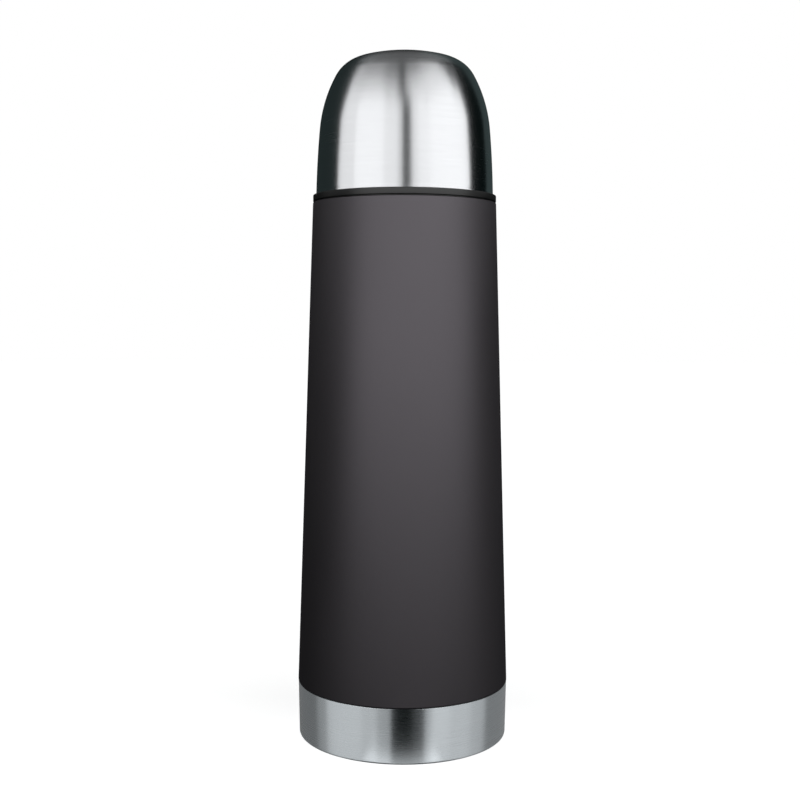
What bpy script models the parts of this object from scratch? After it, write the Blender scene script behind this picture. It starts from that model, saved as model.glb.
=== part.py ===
"""Vacuum flask: double-walled steel bottle, push-button pouring stopper and screw-on drinking cup.

The flask stands on z = 0 with its axis on Z. Profiles are written as (radius, height) in
millimetres, and everything is built in metres. Every piece is turned about the Z axis, so each
object's origin, the world origin, lies on the axis of the screw threads and of the button's travel.
"""
import math

import bmesh
import bpy

MM = 0.001
SIDES = 28                # facets of every large turned piece, all in the same phase
SMALL_SIDES = 20          # facets of pieces thinner than a finger
GAP = 0.3                 # clearance between pieces that touch
STEEL = 0.5               # thickness of the pressed steel walls

# Soft coat: a straight cone that also sets the steel shell and the bottle inside it.
COAT_BOTTOM_R = 37.5
COAT_BOTTOM_Z = 19.5
COAT_TOP_R = 32.25
COAT_TOP_Z = 189.4
COAT_WALL = 0.5

# Steel base cup, which the flask stands on.
BASE_TOP_Z = 19.2
BASE_TOP_R = 37.4
BASE_FOOT_R = 37.05
BASE_CORNER = 1.0
BASE_WALL = 0.6
BASE_RECESS = 2.5

# Double wall. The shell steps in at its foot, so that the base cup sits flush with the coat.
VACUUM = 2.5
SHELL_FOOT_R = 36.0
SHELL_FOOT_Z = 4.2
SHELL_STEP_Z = 20.4
EVACUATION_HOLE_R = 1.6
EVACUATION_HOLE_Z = 6.4
SHOULDER_Z = 189.7
SHOULDER_CORNER = 2.5
OUTER_NECK_R = 25.6
OUTER_NECK_TOP = 206.3
BORE_R = 22.0
NECK_WALL = 0.7
LIP_R = 25.5
LIP_TOP = 207.2
BOTTLE_END_Z = 16.0
BOTTLE_SHOULDER_Z = 186.9
BOTTLE_CORNER = 2.8
FOIL_FOOT_Z = 24.0
FOIL_TOP_Z = 180.3
FOIL = 0.3
GETTER_R = 4.0
GETTER_Z = 11.0

# Plastic collar round the neck.
COLLAR_BORE_R = 25.9
COLLAR_SLEEVE_R = 27.9
COLLAR_TOP = 205.9
LEDGE_Z = 191.35
RIM_R = 32.2
RIM_TOP = 191.7
RIM_FOOT = 189.9
SEAL_INNER_R = 27.0
SEAL_OUTER_R = 28.4

# Cup: four tangent arcs from the rim to the crown, as (radius, end angle from vertical, steps).
CUP_RIM_R = 31.09
CUP_RIM_Z = LEDGE_Z + GAP
CUP_RIM_ANGLE = 1.04
CUP_ARCS = ((330.0, 5.05, 2), (47.0, 28.6, 3), (12.15, 74.2, 3), (62.26, 90.0, 2))
LINER_WALL = 1.2
LINER_SKIRT_R = 29.2
LINER_FOOT_Z = 193.2
LINER_SKIRT_TOP = 204.3
CUP_GASKET_TOP = 192.9

# Screw threads, rolled as round beads. The female beads lie halfway between the male ones.
BEAD = 0.75               # radius of a bead's section
CUP_LEAD = 16.0
CUP_STARTS = 4
CUP_BEAD = 1.0            # height of a bead above its wall
CUP_THREAD_Z = 195.3
CUP_MALE_FACETS = 10      # length of a bead, in facets of the turned wall
CUP_FEMALE_FACETS = 8
CUP_FEMALE_START = 3
STOPPER_LEAD = 4.0
STOPPER_MALE_BEAD = 1.3
STOPPER_FEMALE_BEAD = 0.9
STOPPER_THREAD_Z = 193.7

# Stopper.
PLUG_R = 20.3
PLUG_FOOT_Z = 186.3
CHANNEL_R = 17.8
VALVE_HOLE_R = 9.0
HEAD_R = 23.8
HEAD_TOP = 218.8
FLANGE_R = 25.0
FLANGE_Z = 209.1
NECK_SEAT_R = 21.5        # wider top of the plug, which centres it in the bore
NECK_SEAT_Z = 204.5
HEAD_BORE_R = 20.8
HEAD_STEP_Z = 212.3       # where the channel starts to widen into the head
STOPPER_GASKET_INNER_R = 22.2
STOPPER_GASKET_OUTER_R = 24.6
COVER_R = 21.9
COVER_TOP = 218.6
COVER_FOOT = 216.8
GUIDE_TUBE_FOOT = 211.3
HUB_R = 7.2
HUB_FOOT = 196.3
HUB_TOP = 199.3
FLUTES = 18
FLUTE_R = 1.6
POUR_SLOTS = 4

# Button and valve, which move down together.
BUTTON_R = 9.9
BUTTON_TOP = 222.3
BUTTON_CEILING = 220.8
BUTTON_FOOT = 209.8
BUTTON_WALL = 1.2
BOSS_FOOT = 214.3
SOCKET_TOP = 219.9
STEM_R = 2.0
STEM_BORE_R = STEM_R + GAP
PLATE_R = 10.8
PLATE_FOOT = 182.7
PLATE_TOP = 184.3
PLATE_SOCKET_Z = 183.7
VALVE_SEAL_R = 11.0
SPRING_R = 6.0
SPRING_WIRE = 0.5
SPRING_TURNS = 5


def new_collection(name):
    collection = bpy.data.collections.new(name)
    bpy.context.scene.collection.children.link(collection)
    return collection


def new_material(name, color, roughness, metallic=0.0):
    material = bpy.data.materials.new(name)
    material.use_nodes = True
    shader = material.node_tree.nodes["Principled BSDF"]
    shader.inputs["Base Color"].default_value = (*color, 1.0)
    shader.inputs["Roughness"].default_value = roughness
    shader.inputs["Metallic"].default_value = metallic
    return material


def add_part(name, mesh, color, roughness, metallic=0.0):
    """Link a mesh into the flask as a named part with its own material."""
    mesh.materials.append(new_material(name, color, roughness, metallic))
    part = bpy.data.objects.new(name, mesh)
    PARTS.objects.link(part)
    return part


def arc(center_r, center_z, radius, start, end, steps):
    """Points of an arc from the angle start to the angle end, in degrees from +r."""
    points = []
    for step in range(steps + 1):
        angle = math.radians(start + (end - start) * step / steps)
        points.append((center_r + radius * math.cos(angle), center_z + radius * math.sin(angle)))
    return points


def turned(name, profile, color, roughness, metallic=0.0, sides=SIDES):
    """Turn a profile that runs down its outer side. One that starts on the axis stays open there."""
    mesh = bpy.data.meshes.new(name)
    count = len(profile)
    edges = [(i, i + 1) for i in range(count - 1)]
    if profile[0][0] > 0:
        edges.append((count - 1, 0))
    mesh.from_pydata([(r * MM, 0, z * MM) for r, z in profile], edges, [])
    part = add_part(name, mesh, color, roughness, metallic)
    screw = part.modifiers.new("turn", "SCREW")
    screw.axis = "Z"
    screw.angle = math.tau
    screw.steps = sides
    screw.render_steps = sides
    screw.use_merge_vertices = True
    screw.merge_threshold = 0.00001
    screw.use_normal_calculate = False
    screw.use_smooth_shade = True
    return part


def add_tool(name, mesh):
    """Link a mesh as a wire-drawn tool that only Booleans use."""
    tool = bpy.data.objects.new(name, mesh)
    tool.display_type = "WIRE"
    tool.hide_render = True
    TOOLS.objects.link(tool)
    return tool


def boolean(part, tool, operation):
    modifier = part.modifiers.new(tool.name, "BOOLEAN")
    modifier.object = tool
    modifier.operation = operation
    modifier.solver = "EXACT"


def wire_mesh(name, points, radius):
    """Sweep a round wire of the given radius along (x, y, z, scale) points, in metres."""
    curve = bpy.data.curves.new(name, "CURVE")
    curve.dimensions = "3D"
    curve.bevel_depth = radius
    curve.bevel_resolution = 2
    curve.use_fill_caps = True
    spline = curve.splines.new("POLY")
    spline.points.add(len(points) - 1)
    for target, (x, y, z, scale) in zip(spline.points, points):
        target.co = (x, y, z, 1.0)
        target.radius = scale
    wire = bpy.data.objects.new(name, curve)
    bpy.context.scene.collection.objects.link(wire)
    bpy.context.view_layer.update()
    evaluated = wire.evaluated_get(bpy.context.evaluated_depsgraph_get())
    mesh = bpy.data.meshes.new_from_object(evaluated)
    bpy.data.objects.remove(wire)
    welded = bmesh.new()
    welded.from_mesh(mesh)
    bmesh.ops.remove_doubles(welded, verts=welded.verts, dist=0.000001)
    welded.to_mesh(mesh)
    welded.free()
    return mesh


def helix(radius, z, lead, start, turns, steps_per_turn):
    """Points of a right-hand helix as (x, y, z, share of its length)."""
    steps = round(turns * steps_per_turn)
    points = []
    for step in range(steps + 1):
        share = step / steps
        angle = start + math.tau * turns * share
        r = radius(share)
        points.append((r * MM * math.cos(angle), r * MM * math.sin(angle),
                       (z + lead * turns * share) * MM, share))
    return points


def thread_bead(part, wall_r, crest_r, z, lead, start, turns):
    """Join one thread bead to a wall. It sinks into the wall at both ends."""
    outward = 1 if crest_r > wall_r else -1
    height = abs(crest_r - wall_r)
    run_out = 0.16

    def fullness(share):
        return min(1.0, min(share, 1.0 - share) / run_out)

    def scale(share):
        return 0.4 + 0.6 * fullness(share)

    def center(share):
        crest = height * fullness(share) - 0.08 * (1.0 - fullness(share))
        return wall_r + outward * (crest - BEAD * scale(share))

    points = [(x, y, height_z, scale(share))
              for x, y, height_z, share in helix(center, z, lead, start, turns, SIDES)]
    tool = add_tool(f"{part.name}_bead_{len(part.modifiers)}", wire_mesh("bead", points, BEAD * MM))
    boolean(part, tool, "UNION")


def cylinders(name, radius, low, high, places, sides):
    """One mesh of upright cylinders at (x, y) places, all in millimetres."""
    mesh = bpy.data.meshes.new(name)
    shape = bmesh.new()
    for x, y in places:
        made = bmesh.ops.create_cone(shape, cap_ends=True, segments=sides, radius1=radius * MM,
                                     radius2=radius * MM, depth=(high - low) * MM)
        bmesh.ops.translate(shape, verts=made["verts"],
                            vec=(x * MM, y * MM, (low + high) / 2 * MM))
    shape.to_mesh(mesh)
    shape.free()
    return mesh


def box_mesh(name, low, high):
    """A box between two corners in millimetres."""
    mesh = bpy.data.meshes.new(name)
    shape = bmesh.new()
    made = bmesh.ops.create_cube(shape, size=1.0)
    size = [(b - a) * MM for a, b in zip(low, high)]
    middle = [(a + b) / 2 * MM for a, b in zip(low, high)]
    bmesh.ops.scale(shape, verts=made["verts"], vec=size)
    bmesh.ops.translate(shape, verts=made["verts"], vec=middle)
    shape.to_mesh(mesh)
    shape.free()
    return mesh


def coat_r(z):
    """Outer radius of the soft coat's cone, also past its ends."""
    share = (z - COAT_BOTTOM_Z) / (COAT_TOP_Z - COAT_BOTTOM_Z)
    return COAT_BOTTOM_R + (COAT_TOP_R - COAT_BOTTOM_R) * share


def shell_r(z):
    """Outer radius of the steel shell under the coat."""
    return coat_r(z) - COAT_WALL - GAP


def bottle_r(z):
    """Outer radius of the inner bottle."""
    return shell_r(z) - STEEL - VACUUM


def cup_profile(offset, first_arc=0):
    """The cup's outline from the rim end to the crown, moved inwards by offset."""
    r, z = CUP_RIM_R, CUP_RIM_Z
    angle = math.radians(CUP_RIM_ANGLE)
    points = []
    for index, (radius, end_angle, steps) in enumerate(CUP_ARCS):
        end = math.radians(end_angle)
        for step in range(steps + 1):
            if step == 0 and index > first_arc:
                continue
            slope = angle + (end - angle) * step / steps
            arc_r = r - radius * (math.cos(angle) - math.cos(slope))
            arc_z = z + radius * (math.sin(slope) - math.sin(angle))
            if index >= first_arc:
                points.append((arc_r - offset * math.cos(slope), arc_z - offset * math.sin(slope)))
        r -= radius * (math.cos(angle) - math.cos(end))
        z += radius * (math.sin(end) - math.sin(angle))
        angle = end
    points[-1] = (0.0, points[-1][1])
    return points


def make_base_cup():
    foot_r = BASE_FOOT_R - BASE_CORNER
    ring_r = foot_r - 4.75
    outer = [(BASE_TOP_R, BASE_TOP_Z)] + arc(foot_r, BASE_CORNER, BASE_CORNER, 0, -90, 4)
    underside = [(ring_r, 0.0), (ring_r - 1.5, BASE_RECESS), (0.0, BASE_RECESS)]
    inside = [(0.0, BASE_RECESS + BASE_WALL), (ring_r - 1.1, BASE_RECESS + BASE_WALL),
              (ring_r + 0.4, BASE_WALL)]
    corner = arc(foot_r, BASE_CORNER, BASE_CORNER - BASE_WALL, -90, 0, 3)
    wall = [(BASE_TOP_R - BASE_WALL, BASE_TOP_Z)]
    turned("base_cup", inside + corner + wall + outer + underside, (0.62, 0.63, 0.65), 0.3, 1.0)


def make_outer_shell():
    corner_z = SHOULDER_Z - SHOULDER_CORNER
    corner_r = shell_r(corner_z) - SHOULDER_CORNER
    bore_r = OUTER_NECK_R - STEEL
    outer = [(OUTER_NECK_R, OUTER_NECK_TOP), (OUTER_NECK_R, SHOULDER_Z + 0.6),
             (OUTER_NECK_R + 0.6, SHOULDER_Z)]
    outer += arc(corner_r, corner_z, SHOULDER_CORNER, 90, 0, 3)
    outer += [(shell_r(SHELL_STEP_Z), SHELL_STEP_Z), (SHELL_FOOT_R, SHELL_STEP_Z - 1.5),
              (SHELL_FOOT_R, SHELL_FOOT_Z)]
    inner_step_z = SHELL_STEP_Z + 0.2
    inner = [(SHELL_FOOT_R - STEEL, SHELL_FOOT_Z), (SHELL_FOOT_R - STEEL, inner_step_z - 1.5),
             (shell_r(inner_step_z) - STEEL, inner_step_z)]
    inner += arc(corner_r, corner_z, SHOULDER_CORNER - STEEL, 0, 90, 3)
    inner += [(bore_r + 0.6, SHOULDER_Z - STEEL), (bore_r, SHOULDER_Z + 0.1), (bore_r, OUTER_NECK_TOP)]
    turned("outer_shell", outer + inner, (0.6, 0.61, 0.62), 0.35, 1.0)


def make_outer_bottom():
    """A flanged disc, dished down in the middle to the evacuation hole."""
    rim = SHELL_FOOT_R - STEEL - GAP
    low, high = EVACUATION_HOLE_Z, EVACUATION_HOLE_Z + 1.6
    profile = [(rim, high + STEEL), (rim, low - 1.8), (rim - STEEL, low - 1.8), (rim - STEEL, high),
               (12.0, high), (9.0, low), (EVACUATION_HOLE_R, low), (EVACUATION_HOLE_R, low + 0.6),
               (9.2, low + 0.6), (12.2, high + STEEL)]
    turned("outer_bottom", profile, (0.58, 0.59, 0.6), 0.4, 1.0)


def make_vacuum_seal():
    """A drop of solder under the evacuation hole, with a plug up through it."""
    plug_r = EVACUATION_HOLE_R - 0.4
    face = EVACUATION_HOLE_Z - GAP
    profile = [(0.0, face + 1.3), (plug_r, face + 1.1), (plug_r, face), (3.4, face),
               (3.0, face - 1.1), (1.8, face - 1.6), (0.0, face - 1.7)]
    turned("vacuum_seal", profile, (0.5, 0.5, 0.48), 0.5, 0.8, SMALL_SIDES)


def make_soft_coat():
    """The coat, whose top edge ends close under the collar's rim."""
    foot = COAT_BOTTOM_Z
    top_r, top = COAT_TOP_R, COAT_TOP_Z
    profile = [(top_r - 0.15, top), (top_r, top - 0.15), (coat_r(foot + 0.2), foot + 0.2),
               (COAT_BOTTOM_R - 0.2, foot), (COAT_BOTTOM_R - COAT_WALL, foot), (top_r - COAT_WALL, top)]
    turned("soft_coat", profile, (0.1, 0.095, 0.1), 0.7)


def make_inner_bottle():
    corner_z = BOTTLE_SHOULDER_Z - BOTTLE_CORNER
    corner_r = bottle_r(corner_z) - BOTTLE_CORNER
    neck_r = BORE_R + NECK_WALL
    outer = [(LIP_R, LIP_TOP), (LIP_R, LIP_TOP - 0.6), (neck_r + 0.9, LIP_TOP - 0.6),
             (neck_r, LIP_TOP - 1.5), (neck_r, BOTTLE_SHOULDER_Z + 1.0),
             (neck_r + 0.8, BOTTLE_SHOULDER_Z)]
    outer += arc(corner_r, corner_z, BOTTLE_CORNER, 90, 0, 3)
    outer += [(bottle_r(BOTTLE_END_Z), BOTTLE_END_Z)]
    inner = [(bottle_r(BOTTLE_END_Z) - STEEL, BOTTLE_END_Z)]
    inner += arc(corner_r, corner_z, BOTTLE_CORNER - STEEL, 0, 90, 3)
    inner += [(BORE_R + 1.0, BOTTLE_SHOULDER_Z - STEEL), (BORE_R, BOTTLE_SHOULDER_Z + 0.6),
              (BORE_R, LIP_TOP - 1.2), (BORE_R + 0.4, LIP_TOP - 0.4), (BORE_R + 1.2, LIP_TOP)]
    bottle = turned("inner_bottle", outer + inner, (0.66, 0.66, 0.67), 0.25, 1.0)
    thread_bead(bottle, BORE_R, BORE_R - STOPPER_FEMALE_BEAD, STOPPER_THREAD_Z, STOPPER_LEAD, 0.0, 1.5)


def make_inner_bottom():
    """A disc dished down in the middle, whose flange fits inside the bottle's open end."""
    rim = bottle_r(BOTTLE_END_Z) - STEEL - 0.4
    floor = BOTTLE_END_Z - 2.0
    profile = [(0.0, floor), (rim - 2.1, floor + 0.8), (rim - 0.6, floor + 2.8),
               (rim - 0.7, BOTTLE_END_Z + 4.0), (rim, BOTTLE_END_Z + 4.0), (rim, floor + 2.5),
               (rim - 1.8, floor + 0.2), (0.0, floor - 0.6)]
    turned("inner_bottom", profile, (0.66, 0.66, 0.67), 0.25, 1.0)


def make_radiation_foil():
    low, high = FOIL_FOOT_Z, FOIL_TOP_Z
    near = 0.4
    profile = [(bottle_r(high) + near + FOIL, high), (bottle_r(low) + near + FOIL, low),
               (bottle_r(low) + near, low), (bottle_r(high) + near, high)]
    turned("radiation_foil", profile, (0.75, 0.45, 0.3), 0.3, 1.0)


def make_getter():
    low, high = GETTER_Z, GETTER_Z + 1.9
    profile = [(0.0, high), (GETTER_R - 0.4, high), (GETTER_R, high - 0.4), (GETTER_R, low + 0.4),
               (GETTER_R - 0.4, low), (0.0, low)]
    turned("getter", profile, (0.35, 0.35, 0.36), 0.6, 0.5, SMALL_SIDES)


def make_neck_collar():
    """A threaded sleeve on the neck over a wide ring, whose underside follows the shell's shoulder."""
    corner_z = SHOULDER_Z - SHOULDER_CORNER
    corner_r = shell_r(corner_z) - SHOULDER_CORNER
    face = SHOULDER_Z + 0.35
    recess = face + 0.65
    outer = [(COLLAR_SLEEVE_R - 0.5, COLLAR_TOP), (COLLAR_SLEEVE_R, COLLAR_TOP - 0.5),
             (COLLAR_SLEEVE_R, LEDGE_Z), (RIM_R - 0.75, LEDGE_Z), (RIM_R - 0.6, RIM_TOP),
             (RIM_R - 0.25, RIM_TOP), (RIM_R, RIM_TOP - 0.25), (RIM_R, RIM_FOOT + 0.15),
             (RIM_R - 0.15, RIM_FOOT), (RIM_R - 0.8, RIM_FOOT - 0.1), (RIM_R - 0.8, RIM_FOOT - 0.7)]
    underside = arc(corner_r, corner_z, SHOULDER_CORNER + 0.35, 44.6, 90, 2)
    seal_recess = [(SEAL_OUTER_R + GAP, face), (SEAL_OUTER_R + GAP, recess),
                   (SEAL_INNER_R - GAP, recess), (SEAL_INNER_R - GAP, face)]
    bore = [(COLLAR_BORE_R + 0.4, face), (COLLAR_BORE_R, face + 0.55), (COLLAR_BORE_R, COLLAR_TOP)]
    collar = turned("neck_collar", outer + underside + seal_recess + bore, (0.012, 0.012, 0.012), 0.4)
    for start in range(CUP_STARTS):
        thread_bead(collar, COLLAR_SLEEVE_R, COLLAR_SLEEVE_R + CUP_BEAD, CUP_THREAD_Z, CUP_LEAD,
                    math.tau * start / CUP_STARTS, CUP_MALE_FACETS / SIDES)


def make_ring(name, inner_r, outer_r, low, high):
    """A flat ring of silicone."""
    profile = [(outer_r, high), (outer_r, low), (inner_r, low), (inner_r, high)]
    turned(name, profile, (0.55, 0.55, 0.53), 0.6)


def make_seals():
    seal_foot = SHOULDER_Z + GAP
    make_ring("collar_seal", SEAL_INNER_R, SEAL_OUTER_R, seal_foot, seal_foot + 0.4)
    make_ring("cup_gasket", LINER_SKIRT_R, LINER_SKIRT_R + 1.0, CUP_RIM_Z, CUP_GASKET_TOP)
    make_ring("stopper_gasket", STOPPER_GASKET_INNER_R, STOPPER_GASKET_OUTER_R, LIP_TOP + GAP,
              FLANGE_Z - GAP)


def make_cup_shell():
    outside = cup_profile(0.0)
    inside = cup_profile(STEEL)
    turned("cup_shell", outside[::-1] + inside, (0.62, 0.63, 0.65), 0.3, 1.0)


def make_cup_liner():
    """Plastic lining: a thin skirt with the cup's thread, and a thicker dome above it."""
    outside = cup_profile(STEEL + GAP, 1)
    inside = cup_profile(STEEL + GAP + LINER_WALL, 1)
    foot = [(CUP_RIM_R - STEEL - GAP - 0.05, LINER_FOOT_Z), (LINER_SKIRT_R, LINER_FOOT_Z),
            (LINER_SKIRT_R, LINER_SKIRT_TOP), (LINER_SKIRT_R - 0.7, LINER_SKIRT_TOP + 2.0)]
    liner = turned("cup_liner", outside[::-1] + foot + inside, (0.02, 0.02, 0.02), 0.45)
    half_pitch = CUP_LEAD / CUP_STARTS / 2
    low = CUP_THREAD_Z - half_pitch + CUP_LEAD * CUP_FEMALE_START / SIDES
    for start in range(CUP_STARTS):
        angle = math.tau * (CUP_FEMALE_START / SIDES + start / CUP_STARTS)
        thread_bead(liner, LINER_SKIRT_R, LINER_SKIRT_R - CUP_BEAD, low, CUP_LEAD, angle,
                    CUP_FEMALE_FACETS / SIDES)


def make_stopper_body():
    """Threaded plug with a pouring channel through it, under a wide head with grip flutes."""
    seat_r = COVER_R + 0.4
    seat_z = COVER_FOOT - GAP
    grip_foot = FLANGE_Z + 2.6
    floor_top = PLUG_FOOT_Z + 2.2
    outer = [(seat_r, HEAD_TOP), (HEAD_R - 0.6, HEAD_TOP), (HEAD_R, HEAD_TOP - 0.6),
             (HEAD_R, grip_foot), (FLANGE_R, grip_foot - 0.5), (FLANGE_R, FLANGE_Z),
             (NECK_SEAT_R, FLANGE_Z), (NECK_SEAT_R, NECK_SEAT_Z), (PLUG_R, NECK_SEAT_Z - 0.8),
             (PLUG_R, PLUG_FOOT_Z + 1.0), (PLUG_R - 0.6, PLUG_FOOT_Z), (VALVE_HOLE_R, PLUG_FOOT_Z)]
    inner = [(VALVE_HOLE_R, floor_top), (CHANNEL_R, floor_top), (CHANNEL_R, HEAD_STEP_Z),
             (HEAD_BORE_R, HEAD_STEP_Z + 1.5), (HEAD_BORE_R, seat_z), (seat_r, seat_z)]
    body = turned("stopper_body", outer + inner, (0.025, 0.025, 0.027), 0.45)
    thread_bead(body, PLUG_R, PLUG_R + STOPPER_MALE_BEAD, STOPPER_THREAD_Z + STOPPER_LEAD / 2,
                STOPPER_LEAD, 0.0, 1.0)
    add_spider(body)
    circle_r = HEAD_R + FLUTE_R / 2
    places = [(circle_r * math.cos(math.tau * i / FLUTES), circle_r * math.sin(math.tau * i / FLUTES))
              for i in range(FLUTES)]
    flutes = cylinders("grip_flutes", FLUTE_R, grip_foot + 0.3, HEAD_TOP + 0.5, places, 8)
    boolean(body, add_tool("grip_flutes", flutes), "DIFFERENCE")


def add_spider(body):
    """Join the stem's guide hub to the channel wall with three ribs."""
    hub = cylinders("hub", HUB_R, HUB_FOOT, HUB_TOP, [(0, 0)], SMALL_SIDES)
    hub_tool = add_tool("hub", hub)
    for index in range(3):
        rib = add_tool(f"rib_{index}", box_mesh("rib", (HUB_R - 2.2, -1.1, HUB_FOOT + 0.2),
                                                (CHANNEL_R + 1.2, 1.1, HUB_TOP - 0.2)))
        rib.rotation_euler.z = math.tau * index / 3
        boolean(hub_tool, rib, "UNION")
    bore = add_tool("hub_bore", cylinders("hub_bore", STEM_BORE_R, HUB_FOOT - 1, HUB_TOP + 1,
                                          [(0, 0)], SMALL_SIDES))
    boolean(hub_tool, bore, "DIFFERENCE")
    boolean(body, hub_tool, "UNION")


def make_stopper_cover():
    """Disc with pouring slots round a tube that guides the button."""
    tube_r = BUTTON_R + GAP
    profile = [(COVER_R - 0.3, COVER_TOP), (COVER_R, COVER_TOP - 0.3), (COVER_R, COVER_FOOT),
               (tube_r + 1.4, COVER_FOOT), (tube_r + 1.4, GUIDE_TUBE_FOOT), (tube_r, GUIDE_TUBE_FOOT),
               (tube_r, COVER_TOP)]
    cover = turned("stopper_cover", profile, (0.03, 0.03, 0.033), 0.4)
    for index in range(POUR_SLOTS):
        slot = add_tool(f"pour_slot_{index}", box_mesh("pour_slot", (13.6, -4.5, COVER_FOOT - 1),
                                                       (19.2, 4.5, COVER_TOP + 1)))
        slot.rotation_euler.z = math.tau * (index + 0.5) / POUR_SLOTS
        boolean(cover, slot, "DIFFERENCE")


def make_push_button():
    """A cap with a flange that the guide tube holds down, and a boss for the stem."""
    flange_r = BUTTON_R + 1.3
    flange_top = GUIDE_TUBE_FOOT - GAP
    skirt_r = BUTTON_R - BUTTON_WALL
    boss_r = STEM_BORE_R + 1.1
    profile = [(0.0, BUTTON_TOP - 0.5), (7.6, BUTTON_TOP), (BUTTON_R - 0.6, BUTTON_TOP),
               (BUTTON_R, BUTTON_TOP - 0.6), (BUTTON_R, flange_top), (flange_r, flange_top),
               (flange_r, BUTTON_FOOT), (skirt_r, BUTTON_FOOT), (skirt_r, BUTTON_CEILING),
               (boss_r, BUTTON_CEILING), (boss_r, BOSS_FOOT), (STEM_BORE_R, BOSS_FOOT),
               (STEM_BORE_R, SOCKET_TOP), (0.0, SOCKET_TOP)]
    turned("push_button", profile, (0.14, 0.14, 0.15), 0.45, 0.0, SMALL_SIDES)


def make_button_spring():
    low = HUB_TOP + GAP + SPRING_WIRE
    high = BUTTON_CEILING - GAP - SPRING_WIRE
    rise = (high - low) / SPRING_TURNS
    points = [(x, y, z, 1.0)
              for x, y, z, _ in helix(lambda share: SPRING_R, low, rise, 0.0, SPRING_TURNS, 10)]
    mesh = wire_mesh("button_spring", points, SPRING_WIRE * MM)
    add_part("button_spring", mesh, (0.6, 0.6, 0.6), 0.3, 1.0)


def make_valve_stem():
    low, high = PLATE_SOCKET_Z + GAP, SOCKET_TOP - GAP
    profile = [(0.0, high), (STEM_R - 0.4, high), (STEM_R, high - 0.4), (STEM_R, low + 0.4),
               (STEM_R - 0.4, low), (0.0, low)]
    turned("valve_stem", profile, (0.6, 0.6, 0.58), 0.5, 0.0, 16)


def make_valve_plate():
    """A disc under the valve hole, with a socket for the stem in its middle."""
    bore = [(0.0, PLATE_SOCKET_Z), (STEM_BORE_R, PLATE_SOCKET_Z)]
    profile = [(STEM_BORE_R, PLUG_FOOT_Z + 1.0), (4.1, PLUG_FOOT_Z + 1.0), (4.1, PLATE_TOP),
               (PLATE_R - 0.4, PLATE_TOP), (PLATE_R, PLATE_TOP - 0.4), (PLATE_R, PLATE_FOOT + 0.4),
               (PLATE_R - 0.4, PLATE_FOOT), (0.0, PLATE_FOOT)]
    turned("valve_plate", bore + profile, (0.03, 0.03, 0.03), 0.5, 0.0, SMALL_SIDES)


def make_valve_seal():
    """A ring on the plate, with a raised lip that closes on the plug round the valve hole."""
    low, high = PLATE_TOP + GAP, PLUG_FOOT_Z - GAP
    profile = [(VALVE_SEAL_R, high - 0.5), (VALVE_SEAL_R, low), (4.5, low), (4.5, high - 0.5),
               (8.4, high - 0.5), (9.4, high), (10.6, high)]
    turned("valve_seal", profile, (0.55, 0.55, 0.53), 0.6, 0.0, SMALL_SIDES)


for old in list(bpy.data.objects):
    bpy.data.objects.remove(old)

PARTS = new_collection("vacuum_flask")
TOOLS = new_collection("cutters")

make_base_cup()
make_outer_shell()
make_outer_bottom()
make_vacuum_seal()
make_soft_coat()
make_inner_bottle()
make_inner_bottom()
make_radiation_foil()
make_getter()
make_neck_collar()
make_seals()
make_cup_shell()
make_cup_liner()
make_stopper_body()
make_stopper_cover()
make_push_button()
make_button_spring()
make_valve_stem()
make_valve_plate()
make_valve_seal()
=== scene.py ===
import math

import bmesh
import bpy
from mathutils import Matrix, Vector


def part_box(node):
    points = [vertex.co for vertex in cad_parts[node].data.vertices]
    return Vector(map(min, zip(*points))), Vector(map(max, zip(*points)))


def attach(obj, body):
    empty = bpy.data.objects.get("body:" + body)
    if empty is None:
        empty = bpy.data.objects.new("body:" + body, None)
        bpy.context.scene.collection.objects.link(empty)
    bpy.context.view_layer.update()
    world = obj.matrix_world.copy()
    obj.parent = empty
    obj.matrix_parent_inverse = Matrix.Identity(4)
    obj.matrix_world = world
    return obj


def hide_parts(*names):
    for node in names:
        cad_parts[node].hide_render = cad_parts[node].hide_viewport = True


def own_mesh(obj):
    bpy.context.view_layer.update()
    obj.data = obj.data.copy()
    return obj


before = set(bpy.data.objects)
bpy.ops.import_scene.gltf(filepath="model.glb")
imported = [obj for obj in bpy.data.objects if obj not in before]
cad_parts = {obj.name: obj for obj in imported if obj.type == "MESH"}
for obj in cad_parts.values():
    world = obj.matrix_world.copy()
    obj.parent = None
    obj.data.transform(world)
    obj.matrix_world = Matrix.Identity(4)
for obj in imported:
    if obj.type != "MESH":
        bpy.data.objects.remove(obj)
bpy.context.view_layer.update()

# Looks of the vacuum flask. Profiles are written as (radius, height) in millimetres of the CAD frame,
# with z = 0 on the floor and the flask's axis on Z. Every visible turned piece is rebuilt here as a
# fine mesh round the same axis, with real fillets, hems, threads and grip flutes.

MM = 0.001
TURN = math.tau

# ---------------------------------------------------------------- sizes from the frame


def reach(node):
    """(outer radius, lowest z, highest z) of a turned CAD node, in millimetres."""
    low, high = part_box(node)
    return high.x / MM, low.z / MM, high.z / MM


COAT_R, COAT_FOOT, COAT_TOP = reach("soft_coat")
BASE_R, _, BASE_TOP = reach("base_cup")
RIM_R, _, COLLAR_TOP = reach("neck_collar")
CUP_R, CUP_FOOT, _ = reach("cup_shell")
LINER_R, LINER_FOOT, _ = reach("cup_liner")
_, BOTTLE_FOOT, LIP_TOP = reach("inner_bottle")
FLANGE_R, PLUG_FOOT, HEAD_TOP = reach("stopper_body")
COVER_R, TUBE_FOOT, COVER_TOP = reach("stopper_cover")
BUTTON_FLANGE_R, BUTTON_FOOT, BUTTON_TOP = reach("push_button")
SPRING_OUT, SPRING_FOOT, SPRING_TOP = reach("button_spring")

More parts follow.
